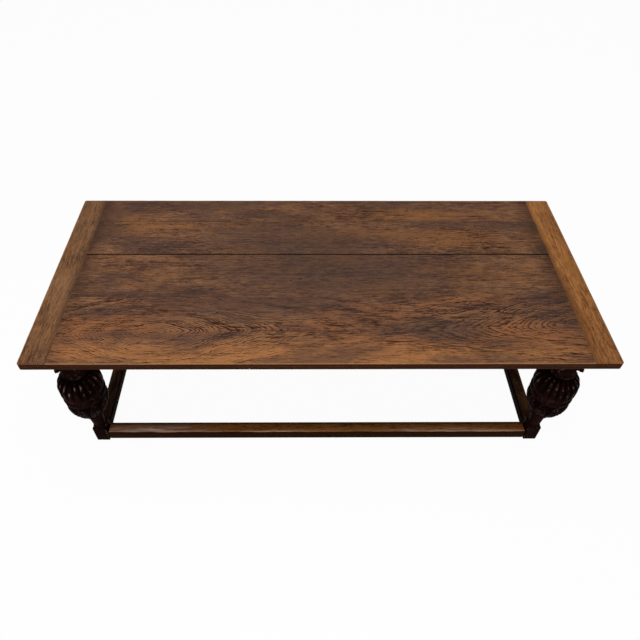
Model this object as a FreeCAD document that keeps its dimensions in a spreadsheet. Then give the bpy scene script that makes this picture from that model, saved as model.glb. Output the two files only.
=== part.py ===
import FreeCAD, Part
import math
import os
import Sketcher
from types import SimpleNamespace

# Draw-leaf refectory table in oak, in millimetres.
# The origin is on the floor under the middle of the top: X runs along the table,
# -Y is the front, +Z is up.

driving_sizes = {
    # Whole table
    "top_length": 2286,
    "top_depth": 965,
    "table_height": 762,
    "leg_inset": 124,
    "cut_overrun": 4,
    # Loose top: boards clamped between two grooved ends
    "top_thickness": 18,
    "inner_front_board_width": 253,
    "inner_back_board_width": 222,
    "back_board_width": 157,
    "board_gap": 0.4,
    "end_width": 107,
    "tongue_length": 22,
    "tongue_thickness": 6,
    "tongue_clearance": 0.3,
    "locating_peg_radius": 10,
    "locating_peg_offset": 200,
    "locating_peg_depth": 10,
    "locating_peg_drop": 14,
    "locating_clearance": 0.5,
    # Leaves, the fixed centre board between them, and the room they slide in
    "centre_board_thickness": 17.5,
    "leaf_length": 870,
    "leaf_gap": 1,
    "slide_clearance": 0.3,
    # Bearers that carry the leaves
    "bearer_width": 30,
    "bearer_depth": 42,
    "bearer_setback": 60,
    "bearer_reach": 690,
    "bearer_nose": 26,
    "bearer_taper_lead": 40,
    "bearer_margin": 91.5,
    "bearer_spacing": 50,
    "bearer_clearance": 1,
    "stop_peg_radius": 8,
    "stop_peg_depth": 24,
    "stop_peg_drop": 18,
    "stop_margin": 1,
    # Frame under the top
    "top_block_size": 76,
    "apron_depth": 100,
    "apron_thickness": 24,
    "apron_tenon_thickness": 10,
    "tenon_shoulder": 12,
    "tenon_web": 1,
    "tenon_clearance": 0.2,
    "rail_thickness": 32,
    "rail_depth": 72,
    # Stretchers near the floor
    "foot_block_size": 60,
    "foot_block_height": 104,
    "stretcher_width": 57,
    "stretcher_depth": 58,
    "stretcher_lift": 8,
    "stretcher_tenon_thickness": 16,
    "stretcher_shoulder": 8,
    # Pegs through the tenons, and screws
    "peg_radius": 4.5,
    "peg_clearance": 0.05,
    "peg_past_tenon": 7,
    "screw_radius": 2.5,
    "screw_head_radius": 5,
    "screw_head_depth": 3,
    "screw_bite": 10,
    "screw_recess": 14,
    "screw_clearance": 0.2,
    # Turned cup-and-cover leg between its blocks
    "abacus_drop": 136,
    "abacus_height": 22,
    "abacus_size": 104,
    "stem_radius": 26,
    "stem_top_radius": 33,
    "collar_radius": 39,
    "cup_radius": 90,
    "groove_radius": 84,
    "cover_radius": 91,
    "cover_top_radius": 58,
    "neck_radius": 43,
    "capital_radius": 50,
}

# Places along a piece, as shares of its length, and the fullness of a bead
peg_height_shares = (0.3, 0.7)
leaf_screw_shares = (0.18, 0.5, 0.92)
bead_share = 0.55
half_share = 0.5

doc = FreeCAD.newDocument("DrawLeafTable")
sheet = doc.addObject("Spreadsheet::Sheet", "sizes")
for row, (alias, number) in enumerate(driving_sizes.items(), start=1):
    sheet.set(f"A{row}", alias)
    sheet.set(f"B{row}", str(number))
    sheet.setAlias(f"B{row}", alias)
doc.recompute()


class Size:
    """A length: the formula that the document keeps, and its value now."""

    def __init__(self, text, value):
        self.text = text
        self.value = value

    def combine(self, sign, other, value):
        return Size(f"({self.text} {sign} {other.text})", value)

    def __add__(self, other):
        other = as_size(other)
        return self.combine("+", other, self.value + other.value)

    def __sub__(self, other):
        other = as_size(other)
        return self.combine("-", other, self.value - other.value)

    def __mul__(self, other):
        other = as_size(other)
        return self.combine("*", other, self.value * other.value)

    def __truediv__(self, other):
        other = as_size(other)
        return self.combine("/", other, self.value / other.value)

    def __rmul__(self, other):
        return as_size(other) * self

    def __neg__(self):
        return self * -1


def as_size(item):
    if isinstance(item, Size):
        return item
    return Size(str(item), item)


dim = SimpleNamespace(**{alias: Size(f"sizes.{alias}", sheet.get(alias)) for alias in driving_sizes})
zero = as_size(0)
nodes = []


def node(item, label, solids=1):
    """Marks a finished piece: its label names its file."""
    item.Label = label
    nodes.append((item, label, solids))
    return item


def place(item, point):
    for letter, length in zip("xyz", point):
        item.setExpression(f"Placement.Base.{letter}", as_size(length).text)


def box(name, centre, span):
    """A squared piece of timber, or a cut of that shape, about its centre."""
    item = doc.addObject("Part::Box", name)
    for size_name, length in zip(("Length", "Width", "Height"), span):
        item.setExpression(size_name, length.text)
    place(item, [middle - length / 2 for middle, length in zip(centre, span)])
    return item


def rod(name, start, direction, radius, length):
    """A dowel, screw shank or drilled hole from a start point along an axis."""
    item = doc.addObject("Part::Cylinder", name)
    item.setExpression("Radius", radius.text)
    item.setExpression("Height", length.text)
    turn = FreeCAD.Rotation(FreeCAD.Vector(0, 0, 1), FreeCAD.Vector(*direction))
    item.Placement = FreeCAD.Placement(FreeCAD.Vector(0, 0, 0), turn)
    place(item, start)
    return item


def fuse(name, *pieces):
    item = doc.addObject("Part::MultiFuse", name)
    item.Shapes = list(pieces)
    return item


def group(name, pieces):
    item = doc.addObject("Part::Compound", name)
    item.Links = list(pieces)
    return item


def cut(name, base, tool):
    item = doc.addObject("Part::Cut", name)
    item.Base = base
    item.Tool = tool
    return item


def origin_plane(body, role):
    return next(feature for feature in body.Origin.OriginFeatures if feature.Role == role)


def arc_between(start, end, radius, convex):
    """An arc of an outline that climbs along the axis, bulging out from it or in towards it."""
    chord = end - start
    half = chord.Length / 2
    rise = math.sqrt(max(radius ** 2 - half ** 2, 0))
    inward = FreeCAD.Vector(-chord.y, chord.x, 0).normalize()
    if not convex:
        inward = inward * -1
    centre = start + chord * half_share + inward * rise
    crown = centre - inward * radius
    return Part.Arc(start, crown, end)


def outline(body, name, points, bends):
    """A closed outline on the body's XZ plane through points, each edge straight or an arc."""
    sketch = body.newObject("Sketcher::SketchObject", name)
    sketch.AttachmentSupport = [(origin_plane(body, "XZ_Plane"), "")]
    sketch.MapMode = "FlatFace"
    corners = [FreeCAD.Vector(across.value, along.value, 0) for across, along in points]
    ends = []
    for index, start in enumerate(corners):
        finish = corners[(index + 1) % len(corners)]
        if index in bends:
            radius, convex = bends[index]
            edge = sketch.addGeometry(arc_between(start, finish, radius.value, convex))
        else:
            edge = sketch.addGeometry(Part.LineSegment(start, finish))
        gaps = [sketch.getPoint(edge, end).distanceToPoint(start) for end in (1, 2)]
        ends.append((1, 2) if gaps[0] < gaps[1] else (2, 1))
    for index, (across, along) in enumerate(points):
        before = index - 1 if index else len(points) - 1
        first = ends[index][0]
        sketch.addConstraint(Sketcher.Constraint("Coincident", before, ends[before][1], index, first))
        for kind, length, axis in (("DistanceX", across, -2), ("DistanceY", along, -1)):
            if length.value == 0:
                sketch.addConstraint(Sketcher.Constraint("PointOnObject", index, first, axis))
                continue
            rule = sketch.addConstraint(Sketcher.Constraint(kind, -1, 1, index, first, length.value))
            sketch.renameConstraint(rule, f"{kind}{index}")
            sketch.setExpression(f"Constraints.{kind}{index}", length.text)
        if index in bends:
            radius = bends[index][0]
            rule = sketch.addConstraint(Sketcher.Constraint("Radius", index, radius.value))
            sketch.renameConstraint(rule, f"Bend{index}")
            sketch.setExpression(f"Constraints.Bend{index}", radius.text)
    return sketch


# Levels and places that the pieces share
half_length = dim.top_length / 2
half_depth = dim.top_depth / 2
leg_x = half_length - dim.leg_inset
leg_y = half_depth - dim.leg_inset
top_under = dim.table_height - dim.top_thickness
frame_top = top_under - dim.centre_board_thickness
leaf_thickness = dim.centre_board_thickness - dim.slide_clearance * 2
leaf_under = frame_top + dim.slide_clearance
bearer_under = leaf_under - dim.bearer_depth
abacus_under = frame_top - dim.abacus_drop
abacus_top = abacus_under + dim.abacus_height
apron_middle = frame_top - dim.apron_depth / 2
stretcher_middle = dim.stretcher_lift + dim.stretcher_depth / 2
centre_board_length = dim.top_length - (dim.leaf_length + dim.leaf_gap) * 2
apron_inner_x = leg_x - dim.apron_thickness / 2
apron_inner_y = leg_y - dim.apron_thickness / 2
leaf_travel = dim.leaf_length
sides = (("left", -1), ("right", 1))
depths = (("front", -1), ("back", 1))


def joined_rails(kind, block, thickness, depth, tenon_thickness, shoulder, middle):
    """Four rails between the legs: their timber, their tenons, and the mortises for these."""
    tenon = block / 2 - tenon_thickness / 2 - dim.tenon_web
    room = dim.tenon_clearance * 2
    tall = depth - shoulder * 2
    rails = {}
    mortises = []
    for (name, sign), along_x in [(item, True) for item in depths] + [(item, False) for item in sides]:
        reach = (leg_x if along_x else leg_y) * 2 - block
        long = reach + tenon * 2
        centre = (zero, leg_y * sign, middle) if along_x else (leg_x * sign, zero, middle)

        def piece(label, length, wide, high):
            span = (length, wide, high) if along_x else (wide, length, high)
            return box(label, centre, span)

        body = piece(f"{kind}_{name}_timber", reach, thickness, depth)
        tongue = piece(f"{kind}_{name}_tenons", long, tenon_thickness, tall)
        rails[name] = fuse(f"{kind}_{name}_joined", body, tongue)
        mortises.append(piece(f"{kind}_{name}_mortises", long + room, tenon_thickness + room, tall + room))
    return rails, mortises


def tenon_pegs(kind, block, tenon_thickness, heights, radius):
    """Pegs driven through each leg block and its two tenons from the outer faces."""
    tenon = block / 2 - tenon_thickness / 2 - dim.tenon_web
    reach = block / 2 - tenon / 2
    length = block / 2 + tenon_thickness / 2 + dim.peg_past_tenon
    pegs = []
    for side, x_sign in sides:
        for face, y_sign in depths:
            for index, level in enumerate(heights):
                name = f"{kind}_{side}_{face}_{index}"
                start = (leg_x * x_sign - reach * x_sign, (leg_y + block / 2) * y_sign, level)
                pegs.append(rod(f"{name}_long", start, (0, -y_sign, 0), radius, length))
                start = ((leg_x + block / 2) * x_sign, leg_y * y_sign - reach * y_sign, level)
                pegs.append(rod(f"{name}_short", start, (-x_sign, 0, 0), radius, length))
    return pegs


apron_rails, apron_mortises = joined_rails(
    "apron", dim.top_block_size, dim.apron_thickness, dim.apron_depth,
    dim.apron_tenon_thickness, dim.tenon_shoulder, apron_middle)
stretcher_rails, stretcher_mortises = joined_rails(
    "stretcher", dim.foot_block_size, dim.stretcher_width, dim.stretcher_depth,
    dim.stretcher_tenon_thickness, dim.stretcher_shoulder, stretcher_middle)
apron_peg_levels = [frame_top - dim.apron_depth * share for share in peg_height_shares]
stretcher_peg_levels = [stretcher_middle]
peg_hole_radius = dim.peg_radius + dim.peg_clearance

peg_rows = (
    ("apron", dim.top_block_size, dim.apron_tenon_thickness, apron_peg_levels),
    ("stretcher", dim.foot_block_size, dim.stretcher_tenon_thickness, stretcher_peg_levels),
)
peg_holes = []
for kind, block, tenon_thickness, levels in peg_rows:
    pegs = tenon_pegs(f"{kind}_peg", block, tenon_thickness, levels, dim.peg_radius)
    node(group(f"{kind}_peg_group", pegs), f"{kind}_pegs", len(pegs))
    peg_holes += tenon_pegs(f"{kind}_hole", block, tenon_thickness, levels, peg_hole_radius)
peg_bores = group("peg_bores", peg_holes)
mortise_cuts = group("mortise_cuts", apron_mortises + stretcher_mortises)


# Legs: a turned cup and cover between two square blocks
def rounded_to_upright(across, along):
    """The radius of an arc over this run that is upright, parallel to the axis, at one end."""
    outwards = 1 if across.value > 0 else -1
    return (across * across + along * along) / (across * outwards * 2)


# Each step up the turning: its end radius, its end level as a share of the turned length, its form
turned_steps_shares = (
    (dim.stem_radius, 0.02, "bead"),
    (dim.stem_top_radius, 0.21, "straight"),
    (dim.collar_radius, 0.225, "cove"),
    (dim.collar_radius, 0.255, "bead"),
    (dim.cup_radius, 0.5, "swell"),
    (dim.cup_radius, 0.588, "straight"),
    (dim.groove_radius, 0.606, "swell"),
    (dim.groove_radius, 0.657, "straight"),
    (dim.cover_radius, 0.675, "swell"),
    (dim.cover_radius, 0.736, "straight"),
    (dim.cover_top_radius, 0.865, "swell"),
    (dim.neck_radius, 0.88, "straight"),
    (dim.neck_radius, 0.93, "bead"),
    (dim.neck_radius, 0.95, "straight"),
    (dim.capital_radius, 1, "cove"),
)


def turned_outline():
    """Points of the half outline from the foot block up, and the edges that are arcs."""
    turned_length = abacus_under - dim.foot_block_height
    points = [(zero, dim.foot_block_height), (dim.stem_radius, dim.foot_block_height)]
    bends = {}
    level_share = 0
    for radius, top_share, form in turned_steps_shares:
        rise = turned_length * (top_share - level_share)
        across = radius - points[-1][0]
        if form == "bead":
            bends[len(points) - 1] = (rise * bead_share, True)
        if form in ("swell", "cove"):
            bends[len(points) - 1] = (rounded_to_upright(across, rise), form == "swell")
        points.append((radius, dim.foot_block_height + turned_length * top_share))
        level_share = top_share
    points.append((zero, abacus_under))
    return points, bends


def leg(name, x_sign, y_sign):
    body = doc.addObject("PartDesign::Body", f"{name}_turning")
    points, bends = turned_outline()
    sketch = outline(body, f"{name}_outline", points, bends)
    turning = body.newObject("PartDesign::Revolution", f"{name}_turned")
    turning.Profile = sketch
    turning.ReferenceAxis = (sketch, ["V_Axis"])
    doc.recompute()
    blocks = (
        ("foot_block", dim.foot_block_size, zero, dim.foot_block_height),
        ("abacus", dim.abacus_size, abacus_under, dim.abacus_height),
        ("top_block", dim.top_block_size, abacus_top, frame_top - abacus_top),
    )
    for label, side, level, tall in blocks:
        block = body.newObject("PartDesign::AdditiveBox", f"{name}_{label}")
        block.setExpression("Length", side.text)
        block.setExpression("Width", side.text)
        block.setExpression("Height", tall.text)
        place(block, (-side / 2, -side / 2, level))
        doc.recompute()
    place(body, (leg_x * x_sign, leg_y * y_sign, zero))
    mortised = cut(f"{name}_mortised", body, mortise_cuts)
    return node(cut(f"{name}_pegged", mortised, peg_bores), name)


for side, x_sign in sides:
    for face, y_sign in depths:
        leg(f"leg_{face}_{side}", x_sign, y_sign)

# Bearer places: the two leaves' bearers pass one another side by side, in from the aprons
outer_bearer = apron_inner_y - dim.bearer_margin
inner_bearer = outer_bearer - dim.bearer_spacing
bearer_offsets = {"left": outer_bearer, "right": inner_bearer}
slot_width = dim.bearer_width + dim.bearer_clearance * 2
slot_top = frame_top + dim.cut_overrun
slot_middle = (slot_top + bearer_under) / 2
slot_depth = slot_top - bearer_under


def bearer_slots(name, leaves, middle_x, thickness):
    """Open-topped slots across a rail, where the bearers of these leaves run."""
    span = (thickness + dim.cut_overrun * 2, slot_width, slot_depth)
    slots = []
    for leaf in leaves:
        for face, y_sign in depths:
            centre = (middle_x, bearer_offsets[leaf] * y_sign, slot_middle)
            slots.append(box(f"{name}_{leaf}_{face}_slot", centre, span))
    return group(f"{name}_slots", slots)


for face, _ in depths:
    node(cut(f"apron_{face}_pegged", apron_rails[face], peg_bores), f"apron_{face}")
for side, x_sign in sides:
    slots = bearer_slots(f"apron_{side}", [side], leg_x * x_sign, dim.apron_thickness)
    slotted = cut(f"apron_{side}_slotted", apron_rails[side], slots)
    node(cut(f"apron_{side}_pegged", slotted, peg_bores), f"apron_{side}")
for name in stretcher_rails:
    node(cut(f"stretcher_{name}_pegged", stretcher_rails[name], peg_bores), f"stretcher_{name}")


# Screws, each a shank with a flat head, driven upwards
def screws(name, places, head_level, tip_level):
    pieces = []
    for index, (across, along) in enumerate(places):
        shank = rod(f"{name}_shank_{index}", (across, along, head_level), (0, 0, 1),
                    dim.screw_radius, tip_level - head_level)
        head = rod(f"{name}_head_{index}", (across, along, head_level), (0, 0, 1),
                   dim.screw_head_radius, dim.screw_head_depth)
        pieces.append(fuse(f"{name}_{index}", shank, head))
    return group(name, pieces)


def screw_holes(name, places, mouth_level, head_level, tip_level):
    """A stepped hole for each screw: wide up to the head, narrow beyond it."""
    pieces = []
    mouth = mouth_level - dim.cut_overrun
    shoulder = head_level + dim.screw_head_depth
    for index, (across, along) in enumerate(places):
        narrow = rod(f"{name}_bore_{index}", (across, along, mouth), (0, 0, 1),
                     dim.screw_radius + dim.screw_clearance, tip_level - mouth + dim.screw_clearance)
        wide = rod(f"{name}_recess_{index}", (across, along, mouth), (0, 0, 1),
                   dim.screw_head_radius + dim.screw_clearance, shoulder - mouth)
        pieces.append(fuse(f"{name}_{index}", narrow, wide))
    return group(name, pieces)


# Centre rail under the fixed centre board, slotted for all the bearers
rail_under = frame_top - dim.rail_depth
rail_timber = box("rail_timber", (zero, zero, frame_top - dim.rail_depth / 2),
                  (dim.rail_thickness, apron_inner_y * 2, dim.rail_depth))
rail_slotted = cut("rail_slotted", rail_timber,
                   bearer_slots("rail", ("left", "right"), zero, dim.rail_thickness))
rail_screw_inner = inner_bearer / 2
rail_screw_outer = (outer_bearer + apron_inner_y) / 2
rail_screw_places = [(zero, offset * y_sign) for offset in (rail_screw_inner, rail_screw_outer)
                     for _, y_sign in depths]
rail_screw_head = rail_under + dim.screw_recess
rail_screw_tip = frame_top + dim.screw_bite
rail_bores = screw_holes("rail_bores", rail_screw_places, rail_under, rail_screw_head, rail_screw_tip)
node(cut("rail_bored", rail_slotted, rail_bores), "centre_rail")
node(screws("rail_screw_group", rail_screw_places, rail_screw_head, rail_screw_tip),
     "centre_board_screws", len(rail_screw_places))

# Locating pegs of the loose top, and their holes
locating_places = [(zero, dim.locating_peg_offset * y_sign, top_under - dim.locating_peg_drop)
                   for _, y_sign in depths]
locating_length = dim.locating_peg_drop + dim.locating_peg_depth
locating_pegs = [rod(f"locating_peg_{index}", start, (0, 0, 1), dim.locating_peg_radius, locating_length)
                 for index, start in enumerate(locating_places)]
node(group("locating_peg_group", locating_pegs), "locating_pegs", len(locating_pegs))


def locating_holes(name, clearance):
    return group(name, [rod(f"{name}_{index}", (across, along, level - clearance), (0, 0, 1),
                            dim.locating_peg_radius + clearance, locating_length + clearance * 2)
                        for index, (across, along, level) in enumerate(locating_places)])


peg_sockets = locating_holes("peg_sockets", dim.peg_clearance)
peg_openings = locating_holes("peg_openings", dim.locating_clearance)

# Fixed centre board, in two widths
board_half = half_depth - dim.board_gap / 2
for face, y_sign in depths:
    timber = box(f"centre_board_{face}_timber",
                 (zero, (board_half + dim.board_gap) / 2 * y_sign,
                  frame_top + dim.centre_board_thickness / 2),
                 (centre_board_length, board_half, dim.centre_board_thickness))
    bored = cut(f"centre_board_{face}_bored", timber, rail_bores)
    node(cut(f"centre_board_{face}_drilled", bored, peg_openings), f"centre_board_{face}")

# Loose top: boards with a tongue at each end, held in two grooved ends
top_middle = top_under + dim.top_thickness / 2
board_length = dim.top_length - dim.end_width * 2
tongue_span = board_length + dim.tongue_length * 2
narrow_widths = dim.inner_front_board_width + dim.inner_back_board_width + dim.back_board_width
top_boards = (
    ("top_front_board", dim.top_depth - narrow_widths),
    ("top_inner_front_board", dim.inner_front_board_width),
    ("top_inner_back_board", dim.inner_back_board_width),
    ("top_back_board", dim.back_board_width),
)
seam = -half_depth
for name, width in top_boards:
    first = name == top_boards[0][0]
    last = name == top_boards[-1][0]
    low = seam if first else seam + dim.board_gap / 2
    seam = seam + width
    high = seam if last else seam - dim.board_gap / 2
    middle = (low + high) / 2
    timber = box(f"{name}_timber", (zero, middle, top_middle),
                 (board_length, high - low, dim.top_thickness))
    low = low + dim.tongue_length if first else low
    high = high - dim.tongue_length if last else high
    middle = (low + high) / 2
    tongue = box(f"{name}_tongues", (zero, middle, top_middle),
                 (tongue_span, high - low, dim.tongue_thickness))
    node(cut(f"{name}_drilled", fuse(f"{name}_joined", timber, tongue), peg_sockets), name)


def grooved_end(name, outer, sign, width, thickness, middle, groove_thickness):
    """A cross-grain end: its outer edge, and a blind groove that takes the boards' tongues."""
    timber = box(f"{name}_timber", (outer - width / 2 * sign, zero, middle),
                 (width, dim.top_depth, thickness))
    room = dim.tongue_clearance * 2
    groove = box(f"{name}_groove", (outer - width * sign, zero, middle),
                 ((dim.tongue_length + dim.tongue_clearance) * 2,
                  dim.top_depth - dim.tongue_length * 2 + room, groove_thickness + room))
    return node(cut(f"{name}_grooved", timber, groove), name)


for side, x_sign in sides:
    grooved_end(f"top_{side}_end", half_length * x_sign, x_sign, dim.end_width,
                dim.top_thickness, top_middle, dim.tongue_thickness)


# Leaves: two boards and a grooved end on a pair of tapered bearers
def bearer(name, side, x_sign, y_sign, bores, stop_socket):
    reach = half_length - dim.bearer_setback + dim.bearer_reach
    taper_from = dim.leaf_length - dim.bearer_setback - dim.bearer_taper_lead
    points = (
        (dim.bearer_nose, zero),
        (reach, zero),
        (reach, dim.bearer_depth - dim.top_thickness),
        (taper_from, dim.bearer_depth),
        (zero, dim.bearer_depth),
        (zero, dim.bearer_nose),
    )
    body = doc.addObject("PartDesign::Body", f"{name}_body")
    sketch = outline(body, f"{name}_outline", points, {})
    pad = body.newObject("PartDesign::Pad", f"{name}_pad")
    pad.Profile = sketch
    pad.SideType = "Symmetric"
    pad.setExpression("Length", dim.bearer_width.text)
    doc.recompute()
    turn = FreeCAD.Rotation(FreeCAD.Vector(0, 0, 1), 180 if x_sign > 0 else 0)
    body.Placement = FreeCAD.Placement(FreeCAD.Vector(0, 0, 0), turn)
    place(body, ((half_length - dim.bearer_setback) * x_sign, bearer_offsets[side] * y_sign, bearer_under))
    bored = cut(f"{name}_bored", body, bores)
    return node(cut(f"{name}_drilled", bored, stop_socket), name)


def leaf(side, x_sign):
    leaf_middle = leaf_under + leaf_thickness / 2
    boards_length = dim.leaf_length - dim.end_width
    boards_x = (half_length - dim.end_width - boards_length / 2) * x_sign
    tongue_x = (half_length - dim.end_width - boards_length / 2 + dim.tongue_length / 2) * x_sign
    screw_places = [((half_length - dim.leaf_length * share) * x_sign, bearer_offsets[side] * y_sign)
                    for share in leaf_screw_shares for _, y_sign in depths]
    head_level = bearer_under + dim.screw_recess
    tip_level = leaf_under + dim.screw_bite
    bores = screw_holes(f"{side}_leaf_bores", screw_places, bearer_under, head_level, tip_level)
    node(screws(f"{side}_leaf_screw_group", screw_places, head_level, tip_level),
         f"{side}_leaf_screws", len(screw_places))
    for face, y_sign in depths:
        centre_y = (board_half + dim.board_gap) / 2 * y_sign
        timber = box(f"{side}_leaf_{face}_timber", (boards_x, centre_y, leaf_middle),
                     (boards_length, board_half, leaf_thickness))
        tongue_width = board_half - dim.tongue_length
        tongue_y = (dim.board_gap / 2 + tongue_width / 2) * y_sign
        tongue = box(f"{side}_leaf_{face}_tongue", (tongue_x, tongue_y, leaf_middle),
                     (boards_length + dim.tongue_length, tongue_width, dim.tongue_thickness))
        joined = fuse(f"{side}_leaf_{face}_joined", timber, tongue)
        node(cut(f"{side}_leaf_{face}_bored", joined, bores), f"{side}_leaf_{face}_board")
    grooved_end(f"{side}_leaf_end", half_length * x_sign, x_sign, dim.end_width,
                leaf_thickness, leaf_middle, dim.tongue_thickness)
    stop_x = (apron_inner_x - leaf_travel - dim.stop_peg_radius - dim.stop_margin) * x_sign
    stop_length = dim.stop_peg_depth + dim.stop_peg_drop
    pegs = []
    sockets = []
    for face, y_sign in depths:
        start = (stop_x, bearer_offsets[side] * y_sign, bearer_under - dim.stop_peg_drop)
        pegs.append(rod(f"{side}_{face}_stop", start, (0, 0, 1), dim.stop_peg_radius, stop_length))
        sockets.append(rod(f"{side}_{face}_stop_socket", start, (0, 0, 1),
                           dim.stop_peg_radius + dim.peg_clearance, stop_length + dim.peg_clearance))
    node(group(f"{side}_stop_group", pegs), f"{side}_leaf_stop_pegs", len(pegs))
    socket = group(f"{side}_stop_sockets", sockets)
    for face, y_sign in depths:
        bearer(f"{side}_leaf_{face}_bearer", side, x_sign, y_sign, bores, socket)


for side, x_sign in sides:
    leaf(side, x_sign)

doc.recompute()
for item in doc.Objects:
    if "Invalid" in item.State or "Error" in item.State:
        raise RuntimeError(f"{item.Name} failed: {item.State}")
os.makedirs("parts", exist_ok=True)
for item, label, solids in nodes:
    shape = item.Shape
    if shape.isNull() or not shape.isValid():
        raise RuntimeError(f"{label} has no valid shape")
    if len(shape.Solids) != solids:
        raise RuntimeError(f"{label} has {len(shape.Solids)} solids, not {solids}")
for item, label, solids in nodes:
    item.Shape.exportStep(f"parts/{label}.step")
    bounds = item.Shape.BoundBox
    print(f"{label}: {solids} solid(s), {item.Shape.Volume / 1e6:.3f} litres, "
          f"x {bounds.XMin:.1f} to {bounds.XMax:.1f}, y {bounds.YMin:.1f} to {bounds.YMax:.1f}, "
          f"z {bounds.ZMin:.1f} to {bounds.ZMax:.1f}")
print(f"{len(nodes)} nodes")
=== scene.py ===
import math

import bmesh
import bpy
from mathutils import Matrix, Vector, noise


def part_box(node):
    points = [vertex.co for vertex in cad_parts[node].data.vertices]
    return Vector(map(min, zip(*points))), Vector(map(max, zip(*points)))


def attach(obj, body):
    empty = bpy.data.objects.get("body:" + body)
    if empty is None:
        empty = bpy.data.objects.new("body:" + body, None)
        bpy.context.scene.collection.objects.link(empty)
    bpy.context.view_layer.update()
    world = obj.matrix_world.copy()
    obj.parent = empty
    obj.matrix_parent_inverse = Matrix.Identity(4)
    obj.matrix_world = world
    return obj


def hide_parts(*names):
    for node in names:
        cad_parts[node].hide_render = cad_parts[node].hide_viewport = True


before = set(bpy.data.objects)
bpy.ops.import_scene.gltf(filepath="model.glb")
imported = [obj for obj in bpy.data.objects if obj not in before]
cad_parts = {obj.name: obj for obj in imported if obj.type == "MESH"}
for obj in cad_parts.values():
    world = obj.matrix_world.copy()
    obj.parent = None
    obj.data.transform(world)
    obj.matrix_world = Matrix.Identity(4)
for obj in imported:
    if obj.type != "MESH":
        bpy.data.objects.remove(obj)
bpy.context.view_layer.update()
print("frame loaded:", len(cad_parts), "nodes")

# Camera, as the photograph was taken: metres, degrees, and shares of the picture's width
cameraView = {
    "place": (-0.0766, -1.7282, 2.5704),
    "pitch": 44.317,
    "yaw": -0.640,
    "roll": 0.453,
    "sensor": 36,
    "lens": 32.306,
    "shift": (0.0223, -0.1075),
    "reach": 100,
}


def addObject(name, data):
    made = bpy.data.objects.new(name, data)
    bpy.context.scene.collection.objects.link(made)
    return made


def makeCamera(view):
    pitch = math.radians(view["pitch"])
    yaw = math.radians(view["yaw"])
    roll = math.radians(view["roll"])
    ahead = Vector((-math.sin(yaw) * math.cos(pitch), math.cos(yaw) * math.cos(pitch), -math.sin(pitch)))
    level = Vector((math.cos(yaw), math.sin(yaw), 0))
    upright = level.cross(ahead)
    right = level * math.cos(roll) + upright * math.sin(roll)
    up = upright * math.cos(roll) - level * math.sin(roll)
    data = bpy.data.cameras.new("camera")
    data.sensor_width = view["sensor"]
    data.lens = view["lens"]
    data.shift_x, data.shift_y = view["shift"]
    data.clip_end = view["reach"]
    camera = addObject("camera", data)
    turn = Matrix((right, up, -ahead)).transposed().to_4x4()
    camera.matrix_world = Matrix.Translation(view["place"]) @ turn
    bpy.context.scene.camera = camera


makeCamera(cameraView)
print("camera placed")


class Wire:  # a shader socket that takes part in sums like a number
    def __init__(self, tree, socket=None):
        self.tree = tree
        self.socket = socket

    def add(self, kind, settings=(), sockets=(), out=0):
        node = self.tree.nodes.new("ShaderNode" + kind)
        for key, value in dict(settings).items():
            if key == "stops":
                setStops(node.color_ramp, value)
            elif key == "easing":
                node.color_ramp.interpolation = value
            else:
                setattr(node, key, value)
        for key, value in dict(sockets).items():
            if isinstance(value, Wire):
                self.tree.links.new(value.socket, node.inputs[key])
            else:
                node.inputs[key].default_value = value
        return Wire(self.tree, node.outputs[out] if node.outputs else None)

    def out(self, name):  # another output of the same node
        return Wire(self.tree, self.socket.node.outputs[name])

    def maths(self, operation, *terms):
        return self.add("Math", {"operation": operation}, enumerate(terms))

    def __add__(self, other):
        return self.maths("ADD", self, other)

    def __radd__(self, other):
        return self.maths("ADD", other, self)

    def __sub__(self, other):
        return self.maths("SUBTRACT", self, other)

    def __rsub__(self, other):
        return self.maths("SUBTRACT", other, self)

    def __mul__(self, other):
        return self.maths("MULTIPLY", self, other)

    def __rmul__(self, other):
        return self.maths("MULTIPLY", other, self)

    def __truediv__(self, other):
        return self.maths("DIVIDE", self, other)

    def __rtruediv__(self, other):
        return self.maths("DIVIDE", other, self)

    def __pow__(self, other):
        return self.maths("POWER", self, other)

    def __rpow__(self, other):
        return self.maths("POWER", other, self)

    def __abs__(self):
        return self.maths("ABSOLUTE", self)

    def least(self, other):
        return self.maths("MINIMUM", self, other)

    def most(self, other):
        return self.maths("MAXIMUM", self, other)

    def root(self):
        return self.maths("SQRT", self)

    def fraction(self):
        return self.maths("FRACT", self)

    def fade(self, low, high):  # 0 below low, 1 above high, smooth between
        return self.add("MapRange", {"interpolation_type": "SMOOTHSTEP"},
                        {"Value": self, "From Min": low, "From Max": high})

    def hill(self, middle, reach):  # 1 at the middle, falling off over the reach
        return 1 - abs(self - middle).fade(0, reach)

    def ramp(self, stops):
        return self.add("ValToRGB", {"stops": stops}, {"Fac": self})

    def curve(self, points):  # a smooth run of values through places along this one
        low = points[0][0]
        span = points[-1][0] - low
        least = min(value for place, value in points)  # a ramp holds no negative values
        stops = [((place - low) / span, [value - least] * 3) for place, value in points]
        share = (self - low) / span
        return self.add("ValToRGB", {"stops": stops, "easing": "B_SPLINE"}, {"Fac": share}) + least

    def mix(self, first, second):  # two colours, by this share of the second
        return self.add("Mix", {"data_type": "RGBA"}, {0: self, 6: colour(first), 7: colour(second)}, out=2)

    def shade(self, first, second):  # a colour multiplied by another, by this share
        return self.add("Mix", {"data_type": "RGBA", "blend_type": "MULTIPLY"},
                        {0: self, 6: colour(first), 7: colour(second)}, out=2)

    def noise(self, vector, scale=1, detail=2, roughness=0.5):
        return self.add("TexNoise", {}, {"Vector": vector, "Scale": scale, "Detail": detail,
                                         "Roughness": roughness})

    def vector(self, x, y, z):
        return self.add("CombineXYZ", {}, {"X": x, "Y": y, "Z": z})


def colour(value):
    return value if isinstance(value, Wire) else (*value, 1)


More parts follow.
